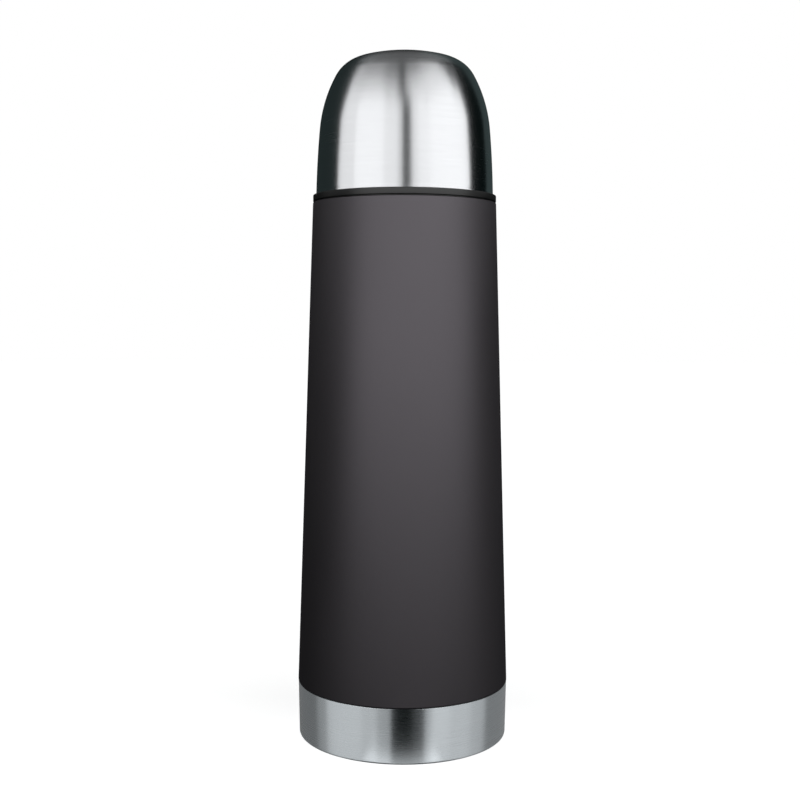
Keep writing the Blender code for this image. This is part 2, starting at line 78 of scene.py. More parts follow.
# Sizes that a box doesn't give.
GAP = 0.3                          # between pieces that sit over one another
COAT_TOP_R = 32.25
COAT_WALL = 0.5
COAT_DROP = 0.4                    # how far below the CAD's edge the coat ends
BASE_WALL = 0.6
BASE_CORNER = 1.0
BASE_FOOT_R = BASE_R - 0.35
BASE_RECESS = 2.5
STEEL = 0.5
SHOULDER_Z = COAT_TOP + GAP
SHOULDER_CORNER = 2.5
COLLAR_CLEARANCE = 0.35
RIM_TOP = 191.7
RIM_HEIGHT = 2.15
RIM_TUCK = 0.8                     # the step inwards under the rim
LEDGE_Z = CUP_FOOT - GAP
SLEEVE_R = 27.9
COLLAR_BORE_R = 25.9
SKIRT_R = 29.2
SKIRT_TOP = 204.3
BORE_R = 22.0
NECK_R = 22.7
LIP_R = 25.5
BOTTLE_SHOULDER_Z = 186.9
BOTTLE_CORNER = 2.8
VACUUM_GAP = 2.5
LINER_WALL = 1.2
PLUG_R = 20.3
CHANNEL_R = 17.8
HEAD_R = 23.8
FLANGE_Z = 209.1
TUBE_R = 10.2
BUTTON_R = 9.9
BUTTON_BODY_FOOT = 211.0
BUTTON_CEILING = 220.8
SOCKET_FOOT = 214.3
SOCKET_TOP = 219.9
SOCKET_R = 2.3
RING_FOOT = 190.7
SLEEVE_FOOT = 190.6
PLUG_NECK_Z = 204.3
PLUG_TOP_Z = 202.8
PLUG_FLOOR_Z = 188.5
PORT_R = 9.0
FLUTE_FOOT_Z = 211.9
FLUTE_TOP_Z = 217.7
CHANNEL_TOP_Z = 212.3
WELL_R = 20.8
HUB_R = 7.2
HUB_BORE_R = 2.3
HUB_LOW = 196.3
HUB_HIGH = 199.3
FLUTES = 18
POUR_SLOTS = 4

# Cup outline: tangent arcs from the rim to the crown, as (radius, end angle from vertical, steps).
CUP_START_ANGLE = 1.04
CUP_ARCS = ((330.0, 5.05, 10), (47.0, 28.6, 14), (12.15, 74.2, 18), (62.26, 90.0, 12))

# Threads are round beads of this radius. Heights are those of a bead's middle where it starts.
BEAD = 0.75
CUP_LEAD = 16.0
STOPPER_LEAD = 4.0
COLLAR_BEAD_Z = 195.3
LINER_BEAD_Z = 193.3
BORE_BEAD_Z = 193.7
PLUG_BEAD_Z = 195.7
THREAD_LOW = 193.3
BORE_THREAD_LOW = 189.3
BORE_THREAD_HIGH = 203.3
ROW = 0.22                         # height of a mesh row on a threaded wall
FACET = 1 / 28                     # share of a turn that thread angles and lengths are counted in
CUP_STARTS = 4                     # starts of the cup's thread

# Steps round the axis of a turned mesh.
SEGMENTS = 192
STOPPER_SEGMENTS = 360
BUTTON_SEGMENTS = 128
COARSE = 96
SHARP = 40                         # degrees between faces, above which an edge isn't smoothed
WHITE = (1.0, 1.0, 1.0)

# ---------------------------------------------------------------- mesh helpers


def rounded(corners, steps=5):
    """A polyline through (r, z, fillet) corners, with each fillet drawn as an arc."""
    points = []
    last = len(corners) - 1
    for index, (r, z, fillet) in enumerate(corners):
        if fillet <= 0 or index in (0, last):
            points.append((r, z))
            continue
        here = Vector((r, z))
        before = Vector(corners[index - 1][:2]) - here
        after = Vector(corners[index + 1][:2]) - here
        half = before.angle(after) / 2
        cut = min(fillet / math.tan(half), before.length * 0.49, after.length * 0.49)
        radius = cut * math.tan(half)
        center = here + (before.normalized() + after.normalized()).normalized() * (radius / math.sin(half))
        start = here + before.normalized() * cut - center
        end = here + after.normalized() * cut - center
        sweep = start.angle_signed(end)
        for step in range(steps + 1):
            # angle_signed is clockwise positive, and so is the rotation here
            turn = -sweep * step / steps
            points.append((center.x + start.x * math.cos(turn) - start.y * math.sin(turn),
                           center.y + start.x * math.sin(turn) + start.y * math.cos(turn)))
    return points


def arc(center_r, center_z, radius, start, end, steps):
    """Points on an arc between two angles in degrees, with 0 outwards and 90 up."""
    angles = [math.radians(start + (end - start) * step / steps) for step in range(steps + 1)]
    return [(center_r + radius * math.cos(a), center_z + radius * math.sin(a)) for a in angles]


def cup_outline(offset, first_arc=0):
    """The cup's outline from the rim to the crown, moved inwards by offset."""
    r, z = CUP_R, CUP_FOOT
    angle = math.radians(CUP_START_ANGLE)
    points = []
    for index, (radius, end_angle, steps) in enumerate(CUP_ARCS):
        end = math.radians(end_angle)
        for step in range(1 if index > first_arc else 0, steps + 1):
            slope = angle + (end - angle) * step / steps
            if index >= first_arc:
                points.append((r - radius * (math.cos(angle) - math.cos(slope)) - offset * math.cos(slope),
                               z + radius * (math.sin(slope) - math.sin(angle)) - offset * math.sin(slope)))
        r -= radius * (math.cos(angle) - math.cos(end))
        z += radius * (math.sin(end) - math.sin(angle))
        angle = end
    points[-1] = (0.0, points[-1][1])
    return points


def as_object(name, shape, sharp=None):
    """Put a bmesh in the scene. With an angle, it is smooth apart from edges sharper than that."""
    mesh = bpy.data.meshes.new(name)
    shape.to_mesh(mesh)
    shape.free()
    if sharp is not None:
        mesh.shade_smooth()
        mesh.set_sharp_from_angle(angle=math.radians(sharp))
    piece = bpy.data.objects.new(name, mesh)
    bpy.context.scene.collection.objects.link(piece)
    return piece


def lathe(name, profile, relief=None, segments=SEGMENTS):
    """Turn a profile round Z. It is closed into a ring unless it starts and ends on the axis.
    relief(r, z, angle) returns the radius that a point is moved to."""
    shape = bmesh.new()
    rings = []
    for r, z in profile:
        if r < 1e-6:
            rings.append([shape.verts.new((0, 0, z * MM))])
            continue
        ring = []
        for step in range(segments):
            angle = TURN * step / segments
            at = relief(r, z, angle) if relief else r
            ring.append(shape.verts.new((at * MM * math.cos(angle), at * MM * math.sin(angle), z * MM)))
        rings.append(ring)
    pairs = list(zip(rings, rings[1:]))
    if len(rings[0]) > 1:
        pairs.append((rings[-1], rings[0]))
    for upper, lower in pairs:
        for step in range(segments):
            after = (step + 1) % segments
            corners = [upper[step % len(upper)], lower[step % len(lower)],
                       lower[after % len(lower)], upper[after % len(upper)]]
            unique = list(dict.fromkeys(corners))
            if len(unique) > 2:
                shape.faces.new(unique)
    bmesh.ops.recalc_face_normals(shape, faces=shape.faces)
    return as_object(name, shape, SHARP)


def rows(r, low, high, step):
    """Points straight down a wall of one radius, closely spaced for a thread's relief."""
    count = max(1, round((high - low) / step))
    return [(r, high + (low - high) * index / count) for index in range(count + 1)]


def thread(wall_r, crest_r, z, lead, starts):
    """A relief of round beads on a wall, from wall_r to crest_r, which climb by lead in a turn.
    starts is a list of (start angle in radians, turns)."""
    outward = 1 if crest_r > wall_r else -1
    height = abs(crest_r - wall_r)

    def relief(r, at_z, angle):
        if abs(r - wall_r) > 0.01:
            return r
        best = 0.0
        for start, turns in starts:
            first = (angle - start) / TURN % 1.0
            for lap in range(3):
                along = first + lap
                if along > turns:
                    break
                off = at_z - z - lead * along
                full = min(1.0, min(along, turns - along) / (0.16 * turns))
                if abs(off) < BEAD:
                    best = max(best, (height - BEAD + math.sqrt(BEAD ** 2 - off ** 2)) * full)
        return r + outward * best

    return relief


def finish_piece(piece, material, body, slot, *nodes):
    """Give a piece its material and its body, and hide the CAD nodes it stands for. slot is not used."""
    piece.data.materials.clear()
    piece.data.materials.append(material)
    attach(piece, body)
    if nodes:
        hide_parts(*nodes)
    return piece


# ---------------------------------------------------------------- material helpers


QUARTER_TURN = 0.25                # of the anisotropy, so that highlights spread along the profile


class Recipe:
    """A procedural material round one Principled shader, with short calls for its nodes."""

    def __init__(self, name, roughness, metallic=0.0, specular=0.5):
        self.material = bpy.data.materials.new(name)
        self.material.use_nodes = True
        self.tree = self.material.node_tree
        self.shader = self.tree.nodes["Principled BSDF"]
        self.shader.inputs["Roughness"].default_value = roughness
        self.shader.inputs["Metallic"].default_value = metallic
        self.shader.inputs["Specular IOR Level"].default_value = specular
        self.coords = self.tree.nodes.new("ShaderNodeTexCoord").outputs["Object"]

    def link(self, source, target):
        self.tree.links.new(source, target)

    def feed(self, socket, value):
        if isinstance(value, bpy.types.NodeSocket):
            self.link(value, socket)
        else:
            socket.default_value = value

    def math(self, operation, a, b=0.0):
        node = self.tree.nodes.new("ShaderNodeMath")
        node.operation = operation
        self.feed(node.inputs[0], a)
        self.feed(node.inputs[1], b)
        return node.outputs[0]

    def noise(self, vector, scale, detail=2.0, roughness=0.5):
        node = self.tree.nodes.new("ShaderNodeTexNoise")
        self.link(vector, node.inputs["Vector"])
        node.inputs["Scale"].default_value = scale
        node.inputs["Detail"].default_value = detail
        node.inputs["Roughness"].default_value = roughness
        return node.outputs["Fac"]

    def cells(self, vector, scale):
        node = self.tree.nodes.new("ShaderNodeTexVoronoi")
        self.link(vector, node.inputs["Vector"])
        node.inputs["Scale"].default_value = scale
        return node.outputs["Distance"]

    def scaled(self, vector, factors):
        node = self.tree.nodes.new("ShaderNodeVectorMath")
        node.operation = "MULTIPLY"
        self.link(vector, node.inputs[0])
        node.inputs[1].default_value = factors
        return node.outputs[0]

    def span(self, value, low, high, to_low, to_high):
        node = self.tree.nodes.new("ShaderNodeMapRange")
        self.feed(node.inputs["Value"], value)
        node.inputs["From Min"].default_value = low
        node.inputs["From Max"].default_value = high
        node.inputs["To Min"].default_value = to_low
        node.inputs["To Max"].default_value = to_high
        return node.outputs["Result"]

    def mix(self, factor, a, b):
        """Colour between a and b by a factor socket."""
        node = self.tree.nodes.new("ShaderNodeMix")
        node.data_type = "RGBA"
        self.feed(node.inputs["Factor"], factor)
        node.inputs["A"].default_value = (*a, 1.0)
        node.inputs["B"].default_value = (*b, 1.0)
        return node.outputs["Result"]

    def bump(self, height, distance, strength=1.0, below=None):
        node = self.tree.nodes.new("ShaderNodeBump")
        self.link(height, node.inputs["Height"])
        node.inputs["Distance"].default_value = distance
        node.inputs["Strength"].default_value = strength
        if below is not None:
            self.link(below, node.inputs["Normal"])
        self.link(node.outputs["Normal"], self.shader.inputs["Normal"])
        return node.outputs["Normal"]

    def turned_coords(self, around, along, slant):
        """A seamless coordinate for a turned piece: coarse round the axis, fine along the profile.
        slant is the share of the radius that counts with the height, so that it also runs over flat faces."""
        split = self.tree.nodes.new("ShaderNodeSeparateXYZ")
        self.link(self.coords, split.inputs[0])
        flat = self.scaled(self.coords, (1.0, 1.0, 0.0))
        length = self.tree.nodes.new("ShaderNodeVectorMath")
        length.operation = "LENGTH"
        self.link(flat, length.inputs[0])
        radius = length.outputs["Value"]
        unit = self.tree.nodes.new("ShaderNodeVectorMath")
        unit.operation = "NORMALIZE"
        self.link(flat, unit.inputs[0])
        direction = self.tree.nodes.new("ShaderNodeSeparateXYZ")
        self.link(unit.outputs[0], direction.inputs[0])
        profile = self.math("ADD", split.outputs["Z"], self.math("MULTIPLY", radius, slant))
        joined = self.tree.nodes.new("ShaderNodeCombineXYZ")
        self.link(self.math("MULTIPLY", direction.outputs["X"], around), joined.inputs["X"])
        self.link(self.math("MULTIPLY", direction.outputs["Y"], around), joined.inputs["Y"])
        self.link(self.math("MULTIPLY", profile, along), joined.inputs["Z"])
        return joined.outputs[0]


def brushed_steel(name, color, roughness, slant, anisotropy=0.85, grain=1.0):
    """Steel brushed round its axis: fine rings of scratches that blur reflections along the profile."""
    steel = Recipe(name, roughness, metallic=1.0)
    fine = steel.noise(steel.turned_coords(3.0, 9000.0, slant), 1.0, 3.0, 0.65)
    broad = steel.noise(steel.turned_coords(1.2, 900.0, slant), 1.0, 2.0)
    stain = steel.noise(steel.coords, 28.0, 3.0)
    both = steel.math("ADD", steel.math("MULTIPLY", fine, 0.7), steel.math("MULTIPLY", broad, 0.3))
    dark = tuple(channel * 0.9 for channel in color)
    steel.link(steel.mix(steel.span(both, 0.3, 0.7, 0.0, 1.0), dark, color),
               steel.shader.inputs["Base Color"])
    worn = steel.math("ADD", steel.span(both, 0.25, 0.75, roughness - 0.03, roughness + 0.03),
                      steel.span(stain, 0.3, 0.7, -0.015, 0.02))
    steel.link(worn, steel.shader.inputs["Roughness"])
    steel.bump(fine, 0.000004 * grain, 0.6)
    steel.shader.inputs["Anisotropic"].default_value = anisotropy
    steel.shader.inputs["Anisotropic Rotation"].default_value = QUARTER_TURN
    tangent = steel.tree.nodes.new("ShaderNodeTangent")
    tangent.direction_type = "RADIAL"
    tangent.axis = "Z"
    steel.link(tangent.outputs[0], steel.shader.inputs["Tangent"])
    return steel.material


def soft_touch():
    """Charcoal soft-touch lacquer: matt, with a fine orange peel, a faint bloom and rubbed patches."""
    coat = Recipe("soft_touch_coat", 0.5, specular=1.0)
    peel = coat.noise(coat.coords, 2600.0, 2.0, 0.5)
    dust = coat.noise(coat.coords, 9000.0, 1.0)
    rubbed = coat.noise(coat.scaled(coat.coords, (1.0, 1.0, 0.45)), 22.0, 3.0)
    coat.link(coat.mix(coat.span(rubbed, 0.3, 0.7, 0.0, 1.0), (0.011, 0.010, 0.011),
                       (0.014, 0.013, 0.014)), coat.shader.inputs["Base Color"])
    roughness = coat.math("ADD", coat.span(rubbed, 0.3, 0.7, 0.50, 0.56),
                          coat.span(dust, 0.3, 0.7, -0.02, 0.02))
    coat.link(roughness, coat.shader.inputs["Roughness"])
    below = coat.bump(dust, 0.00001, 0.5)
    coat.bump(peel, 0.00003, 0.5, below)
    coat.shader.inputs["IOR"].default_value = 1.6
    coat.shader.inputs["Specular Tint"].default_value = (0.98, 0.91, 1.0, 1.0)
    return coat.material


def moulded(name, color, roughness, texture=0.00002, scale=3800.0):
    """Moulded polypropylene: spark-eroded grain, slight flow mottling and uneven gloss."""
    plastic = Recipe(name, roughness)
    spark = plastic.cells(plastic.coords, scale)
    flow = plastic.noise(plastic.coords, 90.0, 3.0)
    light = tuple(channel * 1.25 + 0.002 for channel in color)
    plastic.link(plastic.mix(plastic.span(flow, 0.3, 0.7, 0.0, 1.0), color, light),
                 plastic.shader.inputs["Base Color"])
    plastic.link(plastic.span(flow, 0.3, 0.7, roughness - 0.05, roughness + 0.06),
                 plastic.shader.inputs["Roughness"])
    plastic.bump(spark, texture, 0.6)
    return plastic.material


def silicone():
    rubber = Recipe("silicone", 0.5)
    cloud = rubber.noise(rubber.coords, 160.0, 3.0)
    rubber.link(rubber.mix(cloud, (0.46, 0.46, 0.44), (0.56, 0.56, 0.54)), rubber.shader.inputs["Base Color"])
    rubber.link(rubber.span(cloud, 0.3, 0.7, 0.42, 0.58), rubber.shader.inputs["Roughness"])
    rubber.bump(rubber.noise(rubber.coords, 5200.0), 0.00001, 0.5)
    rubber.shader.inputs["Subsurface Weight"].default_value = 0.25
    rubber.shader.inputs["Subsurface Scale"].default_value = 0.001
    return rubber.material


def plain_metal(name, color, roughness, grain_scale, spread=0.06):
    """Pressed, polished or drawn metal with an even grain and a few duller patches."""
    metal = Recipe(name, roughness, metallic=1.0)
    grain = metal.noise(metal.coords, grain_scale, 3.0, 0.6)
    patch = metal.noise(metal.coords, 60.0, 2.0)
    dark = tuple(channel * 0.85 for channel in color)
    metal.link(metal.mix(grain, dark, color), metal.shader.inputs["Base Color"])
    metal.link(metal.span(patch, 0.3, 0.7, roughness - spread, roughness + spread),
               metal.shader.inputs["Roughness"])
    metal.bump(grain, 0.000006, 0.5)
    return metal.material


CUP_STEEL = brushed_steel("cup_brushed_steel", (0.80, 0.81, 0.83), 0.24, -1.0, 0.85, 0.35)
BASE_STEEL = brushed_steel("base_brushed_steel", (0.70, 0.745, 0.775), 0.27, 1.0, 0.95, 0.6)
BOTTLE_STEEL = plain_metal("bottle_steel", (0.72, 0.72, 0.72), 0.22, 700.0)
SHELL_STEEL = plain_metal("shell_steel", (0.6, 0.6, 0.61), 0.35, 500.0)
SPRING_STEEL = plain_metal("spring_steel", (0.62, 0.62, 0.63), 0.3, 1500.0)
FOIL = plain_metal("foil", (0.8, 0.47, 0.33), 0.25, 260.0, 0.1)
SOLDER = plain_metal("solder", (0.5, 0.5, 0.48), 0.5, 900.0)
GETTER = plain_metal("getter_pellet", (0.3, 0.3, 0.31), 0.7, 2200.0)
COAT = soft_touch()
BLACK = moulded("black_plastic", (0.012, 0.0125, 0.0125), 0.36)
STOPPER_BLACK = moulded("stopper_plastic", (0.02, 0.02, 0.022), 0.42, 0.00003, 2600.0)
BUTTON_GREY = moulded("button_plastic", (0.12, 0.12, 0.13), 0.42, 0.00003, 2600.0)
NATURAL = moulded("valve_plastic", (0.58, 0.58, 0.55), 0.45)
SILICONE = silicone()

# ---------------------------------------------------------------- pieces


def coat_radius(z):
    """The coat's outer radius, which tapers evenly."""
    return COAT_R + (COAT_TOP_R - COAT_R) * (z - COAT_FOOT) / (COAT_TOP - COAT_FOOT)


def shell_radius(z):
    """The outer radius of the steel shell inside the coat."""
    return coat_radius(z) - COAT_WALL - GAP


def make_coat():
    """Soft-touch coat: a thin tapered sleeve with rounded edges."""
    top = COAT_TOP - COAT_DROP
    corners = [(COAT_TOP_R - COAT_WALL, top, 0), (COAT_TOP_R, top, 0.15), (COAT_R, COAT_FOOT, 0.22),
               (COAT_R - COAT_WALL, COAT_FOOT, 0)]
    return finish_piece(lathe("coat", rounded(corners)), COAT, "flask", "soft_touch_coat", "soft_coat")


def make_base():
    """Pressed base cup: curled edge, deep-drawn corner, and a recessed floor with two stiffening rings."""
    foot_r = BASE_FOOT_R - BASE_CORNER
    outside = rounded([(BASE_R - BASE_WALL, BASE_TOP, 0), (BASE_R, BASE_TOP, 0.38),
                       (BASE_FOOT_R, BASE_CORNER + 0.01, 0)])[1:]
    corner = arc(foot_r, BASE_CORNER, BASE_CORNER, 0, -90, 12)[1:]
    floor = rounded([(foot_r, 0, 0), (30.6, 0, 0.8), (29.0, BASE_RECESS, 0.8), (23.0, BASE_RECESS, 0.4),
                     (22.4, BASE_RECESS - 0.5, 0.4), (21.0, BASE_RECESS - 0.5, 0.4),
                     (20.4, BASE_RECESS, 0.4), (9.0, BASE_RECESS, 0.3), (8.6, BASE_RECESS - 0.3, 0.3),
                     (7.6, BASE_RECESS - 0.3, 0.3), (7.2, BASE_RECESS, 0.3), (0, BASE_RECESS, 0)])[1:]
    top = BASE_RECESS + BASE_WALL
    inside = rounded([(0, top, 0), (29.4, top, 0.6), (31.0, BASE_WALL, 0.6), (foot_r, BASE_WALL, 0)])
    wall = arc(foot_r, BASE_CORNER, BASE_CORNER - BASE_WALL, -90, 0, 8)[1:]
    profile = inside + wall + [(BASE_R - BASE_WALL, BASE_TOP)] + outside + corner + floor
    return finish_piece(lathe("base", profile), BASE_STEEL, "flask", "brushed_steel", "base_cup")


def make_collar():
    """Threaded sleeve on a rim, with a groove for the seal under it."""
    corner_z = SHOULDER_Z - SHOULDER_CORNER
    corner_r = shell_radius(corner_z) - SHOULDER_CORNER
    rim_foot = RIM_TOP - RIM_HEIGHT
    tuck_r = RIM_R - RIM_TUCK
    sleeve_top = COLLAR_TOP - 2.0
    ring = rounded([(SLEEVE_R, THREAD_LOW, 0), (SLEEVE_R, LEDGE_Z, 0.25), (RIM_R - 0.75, LEDGE_Z, 0.1),
                    (RIM_R - 0.65, RIM_TOP, 0.12), (RIM_R, RIM_TOP, 0.25), (RIM_R, rim_foot, 0.15),
                    (tuck_r, rim_foot - 0.1, 0.1), (tuck_r, rim_foot - 0.35, 0)])
    underside = arc(corner_r, corner_z, SHOULDER_CORNER + COLLAR_CLEARANCE, 44.6, 90, 6)
    face = SHOULDER_Z + COLLAR_CLEARANCE
    bore = rounded([(28.7, face, 0), (28.7, RING_FOOT, 0), (26.7, RING_FOOT, 0), (26.7, face, 0),
                    (26.3, face, 0), (COLLAR_BORE_R, SLEEVE_FOOT, 0), (COLLAR_BORE_R, COLLAR_TOP, 0.3),
                    (SLEEVE_R - 0.6, COLLAR_TOP, 0)])
    shoulder = rounded([(SLEEVE_R - 0.6, COLLAR_TOP, 0), (SLEEVE_R, COLLAR_TOP - 0.6, 0.5),
                        (SLEEVE_R, sleeve_top, 0)])[1:]
    sleeve = rows(SLEEVE_R, THREAD_LOW, sleeve_top, ROW)[1:]
    profile = shoulder + sleeve + ring[1:] + underside + bore
    starts = [(TURN * index / CUP_STARTS, 10 * FACET) for index in range(CUP_STARTS)]
    relief = thread(SLEEVE_R, SLEEVE_R + 1.0, COLLAR_BEAD_Z, CUP_LEAD, starts)
    return finish_piece(lathe("collar", profile, relief), BLACK, "flask", "black_plastic", "neck_collar")


def make_bottle():
    """Inner bottle: lip rolled over the outer neck, rolled thread, rounded shoulder."""
    corner_z = BOTTLE_SHOULDER_Z - BOTTLE_CORNER
    shift = STEEL + VACUUM_GAP
    corner_r = shell_radius(corner_z) - shift - BOTTLE_CORNER
    outside = rounded([(BORE_R + 1.2, LIP_TOP, 0), (LIP_R, LIP_TOP, 0.28), (LIP_R, LIP_TOP - 0.6, 0.28),
                       (NECK_R, LIP_TOP - 0.6, 1.0), (NECK_R, BOTTLE_SHOULDER_Z, 0.8),
                       (corner_r, BOTTLE_SHOULDER_Z, 0)])
    shoulder = arc(corner_r, corner_z, BOTTLE_CORNER, 90, 0, 8)
    foot_r = shell_radius(BOTTLE_FOOT) - shift
    inner = [(foot_r, BOTTLE_FOOT), (foot_r - STEEL, BOTTLE_FOOT)]
    inner += arc(corner_r, corner_z, BOTTLE_CORNER - STEEL, 0, 90, 8)
    throat = rounded([(corner_r, BOTTLE_SHOULDER_Z - STEEL, 0), (BORE_R, BOTTLE_SHOULDER_Z - STEEL, 1.2),
                      (BORE_R, BORE_THREAD_LOW, 0)])[1:]
    bore = rows(BORE_R, BORE_THREAD_LOW, BORE_THREAD_HIGH, ROW)[::-1][1:]
    mouth = rounded([(BORE_R, BORE_THREAD_HIGH, 0), (BORE_R, LIP_TOP, 1.1), (BORE_R + 1.2, LIP_TOP, 0)])[1:]
    profile = outside + shoulder + inner + throat + bore + mouth
    relief = thread(BORE_R, BORE_R - 0.9, BORE_BEAD_Z, STOPPER_LEAD, [(0.0, 1.5)])
    finish_piece(lathe("bottle", profile, relief), BOTTLE_STEEL, "flask", "bottle_steel", "inner_bottle")


def make_cup():
    """Cup shell with a rolled hem at its rim."""
    hem = rounded([(CUP_R - STEEL, CUP_FOOT + 0.1, 0), (CUP_R - STEEL + 0.1, CUP_FOOT, 0.08),
                   (CUP_R + 0.03, CUP_FOOT, 0.2), (CUP_R + 0.03, CUP_FOOT + 0.5, 0.1),
                   (CUP_R - 0.01, CUP_FOOT + 0.8, 0)])
    outside = [(r, z) for r, z in cup_outline(0.0) if z > CUP_FOOT + 0.9]
    inside = [(r, z) for r, z in cup_outline(STEEL) if z > CUP_FOOT + 0.2]
    finish_piece(lathe("cup", outside[::-1] + hem[::-1] + inside), CUP_STEEL, "cup", "brushed_steel",
                 "cup_shell")


def make_liner():
    """Plastic lining of the cup: a dome and, inside it, the skirt that carries the cup's thread."""
    outside = cup_outline(STEEL + GAP, 1)
    inside = cup_outline(STEEL + GAP + LINER_WALL, 1)
    foot = rounded([outside[0] + (0,), (LINER_R, LINER_FOOT, 0.25), (SKIRT_R, LINER_FOOT, 0.2),
                    (SKIRT_R, LINER_FOOT + 0.5, 0)])[1:]
    skirt = rows(SKIRT_R, LINER_FOOT + 0.5, SKIRT_TOP - 1.0, ROW)[::-1][1:]
    step = rounded([(SKIRT_R, SKIRT_TOP - 1.0, 0), (SKIRT_R, SKIRT_TOP, 0.5),
                    (SKIRT_R - 0.7, SKIRT_TOP + 2.0, 0.8), inside[0] + (0,)])[1:-1]
    first = 3 * FACET
    starts = [(TURN * (first + index / CUP_STARTS), 8 * FACET) for index in range(CUP_STARTS)]
    relief = thread(SKIRT_R, SKIRT_R - 1.0, LINER_BEAD_Z + CUP_LEAD * first, CUP_LEAD, starts)
    profile = outside[::-1] + foot + skirt + step + inside
    finish_piece(lathe("liner", profile, relief), BLACK, "cup", "black_plastic", "cup_liner")


def ring_piece(name, node, fillet, body):
    """A soft rectangular ring with rounded edges, in place of a CAD gasket."""
    high_r, low_z, high_z = reach(node)
    inner = min(math.hypot(v.co.x, v.co.y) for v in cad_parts[node].data.vertices) / MM
    seam = (inner + 0.2, high_z, 0)
    corners = [seam, (high_r, high_z, fillet), (high_r, low_z, fillet), (inner, low_z, fillet),
               (inner, high_z, fillet), seam]
    finish_piece(lathe(name, rounded(corners)[:-1]), SILICONE, body, "silicone", node)


def flutes(r, z, angle):
    """Relief of the stopper's grip flutes, cut by upright cylinders round the head."""
    if abs(r - HEAD_R) > 0.7 or z < FLUTE_FOOT_Z - 0.2:
        return r
    center, radius = HEAD_R + 0.8, 1.6
    off = (angle + TURN / FLUTES / 2) % (TURN / FLUTES) - TURN / FLUTES / 2
    side = center * math.sin(off)
    if abs(side) >= radius:
        return r
    return min(r, center * math.cos(off) - math.sqrt(radius ** 2 - side ** 2))


def make_stopper():
    """Stopper body: fluted head, flange, threaded plug, and the channel inside it."""
    seat_r, seat_z = COVER_R + 0.4, COVER_TOP - 2.1
    head = rounded([(seat_r, HEAD_TOP, 0), (HEAD_R, HEAD_TOP, 0.6), (HEAD_R, FLUTE_TOP_Z, 0)])
    grip = rows(HEAD_R, FLUTE_FOOT_Z, FLUTE_TOP_Z, 0.5)[1:]
    step_r = PLUG_R + 1.2
    flange = rounded([(HEAD_R, FLUTE_FOOT_Z, 0), (HEAD_R, FLUTE_FOOT_Z - 0.4, 0.3),
                      (FLANGE_R, FLUTE_FOOT_Z - 0.7, 0.3), (FLANGE_R, FLANGE_Z, 0.3),
                      (step_r, FLANGE_Z, 0.3), (step_r, PLUG_NECK_Z, 0.3),
                      (PLUG_R, PLUG_TOP_Z + 0.7, 0.5), (PLUG_R, PLUG_TOP_Z, 0)])[1:]
    plug = rows(PLUG_R, THREAD_LOW, PLUG_TOP_Z, ROW)[1:]
    foot = rounded([(PLUG_R, THREAD_LOW, 0), (PLUG_R, PLUG_FOOT, 0.8), (PORT_R, PLUG_FOOT, 0.2),
                    (PORT_R, PLUG_FLOOR_Z, 0.2), (CHANNEL_R, PLUG_FLOOR_Z, 0.8),
                    (CHANNEL_R, CHANNEL_TOP_Z, 0.8), (WELL_R, CHANNEL_TOP_Z + 1.5, 0.8),
                    (WELL_R, seat_z, 0.1), (seat_r, seat_z, 0.1)])[1:]
    beads = thread(PLUG_R, PLUG_R + 1.3, PLUG_BEAD_Z, STOPPER_LEAD, [(0.0, 1.0)])

    def relief(r, z, angle):
        return flutes(beads(r, z, angle), z, angle)

    body = lathe("stopper", head + grip + flange + plug + foot, relief, STOPPER_SEGMENTS)
    finish_piece(body, STOPPER_BLACK, "stopper", "stopper_plastic", "stopper_body")


def solid_bars(name, bars):
    """Upright rounded bars as one mesh. Each is ((x, y) centre, size x, size y, low, high, angle, corner)."""
    shape = bmesh.new()
    for (x, y), size_x, size_y, low, high, angle, corner in bars:
        ends = []
        for sign_x, sign_y, first in ((1, 1, 0), (-1, 1, 90), (-1, -1, 180), (1, -1, 270)):
            for step in range(7):
                turn = math.radians(first + 15 * step)
                ends.append((sign_x * (size_x / 2 - corner) + corner * math.cos(turn),
                             sign_y * (size_y / 2 - corner) + corner * math.sin(turn)))
        ring = []
        for px, py in ends:
            px, py = px + x, py + y
            ring.append((px * math.cos(angle) - py * math.sin(angle),
                         px * math.sin(angle) + py * math.cos(angle)))
        lower = [shape.verts.new((px * MM, py * MM, low * MM)) for px, py in ring]
        upper = [shape.verts.new((px * MM, py * MM, high * MM)) for px, py in ring]
        shape.faces.new(lower[::-1])
        shape.faces.new(upper)
        for step in range(len(ring)):
            after = (step + 1) % len(ring)
            shape.faces.new((lower[step], lower[after], upper[after], upper[step]))
    return as_object(name, shape)


def make_spider():
    """The stem's guide: a hub on three ribs, inside the stopper's channel."""
    middle_r = (HUB_R + HUB_BORE_R) / 2
    corners = [(middle_r, HUB_HIGH, 0), (HUB_R, HUB_HIGH, 0.3), (HUB_R, HUB_LOW, 0.3),
               (HUB_BORE_R, HUB_LOW, 0.2), (HUB_BORE_R, HUB_HIGH, 0.2), (middle_r, HUB_HIGH, 0)]
    hub = lathe("stem_guide", rounded(corners)[:-1], segments=COARSE)
    finish_piece(hub, STOPPER_BLACK, "stopper", "stopper_plastic")
    reach_in, reach_out = HUB_R - 0.1, CHANNEL_R + 0.2
    bars = [(((reach_in + reach_out) / 2, 0), reach_out - reach_in, 2.2, HUB_LOW + 0.2, HUB_HIGH - 0.2,
             TURN * index / 3, 0.3) for index in range(3)]
    finish_piece(solid_bars("guide_ribs", bars), STOPPER_BLACK, "stopper", "stopper_plastic")


